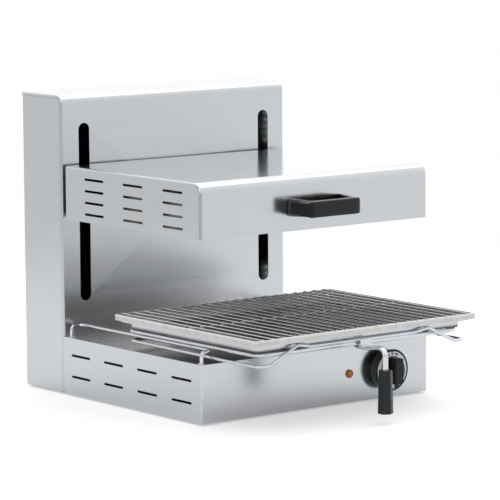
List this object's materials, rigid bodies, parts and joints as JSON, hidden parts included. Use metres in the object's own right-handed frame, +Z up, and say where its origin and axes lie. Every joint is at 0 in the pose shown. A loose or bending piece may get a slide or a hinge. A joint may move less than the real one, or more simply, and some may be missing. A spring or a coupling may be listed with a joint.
{
  "type": "salamander grill",
  "caption": "Electric salamander grill with a rise-and-fall heated head, wire grid on a drip tray and a slide-out wire carrier, knob and pilot lamp.",
  "frame": {"origin": "on the floor, under the middle of the whole object, grid carrier and lifting handle included", "axes": "+Z up, the front looks along -Y, +X to the right of someone who faces the front"},
  "size_m": [0.475, 0.6901, 0.503],
  "materials": {
    "brushed_panel": "brushed stainless, satin",
    "base_top_steel": "brushed stainless, satin",
    "wire": "polished wire",
    "grid_wire": "polished wire",
    "tray_steel": "satin",
    "reflector": "dull",
    "galvanised": "zinc coated",
    "ground_steel": "ground",
    "black_plastic": "gloss",
    "black_grip": "satin",
    "dial_silver": "satin",
    "lamp_orange": "clear gloss",
    "white_plastic": "matte",
    "rubber_black": "matte",
    "bronze": "sintered",
    "element_steel": "oxidised alloy tube",
    "mineral_wool": "fibre",
    "ceramic": "ceramic",
    "spring_steel": "oiled",
    "screw_steel": "bright"
  },
  "bodies": {
    "column_and_base": {"column_cover": "brushed_panel", "column_side_left": "brushed_panel", "column_side_right": "brushed_panel", "back_cover": "brushed_panel", "back_screws": "screw_steel", "cable_gland": "black_plastic", "gland_nut": "black_plastic", "bonding_stud": "bronze", "bonding_nut": "bronze", "base_casing": "brushed_panel", "base_top": "base_top_steel", "bottom_plate": "galvanised", "feet": "rubber_black", "rail_left": "wire", "rail_right": "wire", "rail_washers": "screw_steel", "rail_nuts": "screw_steel", "regulator_body": "white_plastic", "pilot_lens": "lamp_orange", "lamp_body": "white_plastic", "terminal_block": "white_plastic", "lower_cross_rail": "galvanised", "upper_cross_rail": "galvanised", "guide_rod_left": "ground_steel", "guide_rod_right": "ground_steel", "stop_buffers": "rubber_black", "spring_left": "spring_steel", "spring_right": "spring_steel"},
    "head": {"head_shell": "brushed_panel", "head_rear_panel": "galvanised", "reflector_pan": "reflector", "insulation": "mineral_wool", "heating_elements": "element_steel", "element_hangers": "galvanised", "element_terminals": "ceramic", "bow_handle": "black_plastic", "handle_screws": "screw_steel", "lift_arm_left": "galvanised", "lift_arm_right": "galvanised", "bush_housings": "galvanised", "guide_bushes": "bronze", "carriage_plate": "galvanised"},
    "carrier": {"carrier": "wire"},
    "drip_tray": {"drip_tray": "tray_steel"},
    "grid": {"grid": "grid_wire"},
    "lifting_handle": {"lift_fork": "wire", "lift_grip": "black_grip"},
    "control_knob": {"knob": "black_plastic", "knob_dial": "dial_silver", "regulator_shaft": "ground_steel"}
  },
  "joints": [
    {"name": "head_lift", "type": "slide", "parent": "column_and_base", "child": "head", "axis": [0, 0, 1], "range_m": [-0.105, 0.11], "deforming": ["spring_left", "spring_right"]},
    {"name": "carrier_slide", "type": "slide", "parent": "column_and_base", "child": "carrier", "axis": [0, -1, 0], "range_m": [-0.12, 0.2]},
    {"name": "drip_tray_lift", "type": "slide", "parent": "carrier", "child": "drip_tray", "axis": [0, 0, 1], "range_m": [0, 0.015]},
    {"name": "grid_lift", "type": "slide", "parent": "drip_tray", "child": "grid", "axis": [0, 0, 1], "range_m": [0, 0.015]},
    {"name": "lifting_handle_tilt", "type": "hinge", "parent": "carrier", "child": "lifting_handle", "pos_m": [0, -0.27475, 0.1238], "axis": [-1, 0, 0], "range_deg": [0, 15]},
    {"name": "knob_turn", "type": "hinge", "parent": "column_and_base", "child": "control_knob", "pos_m": [0.144, -0.16275, 0.051], "axis": [0, 1, 0], "range_deg": [0, 285]}
  ]
}
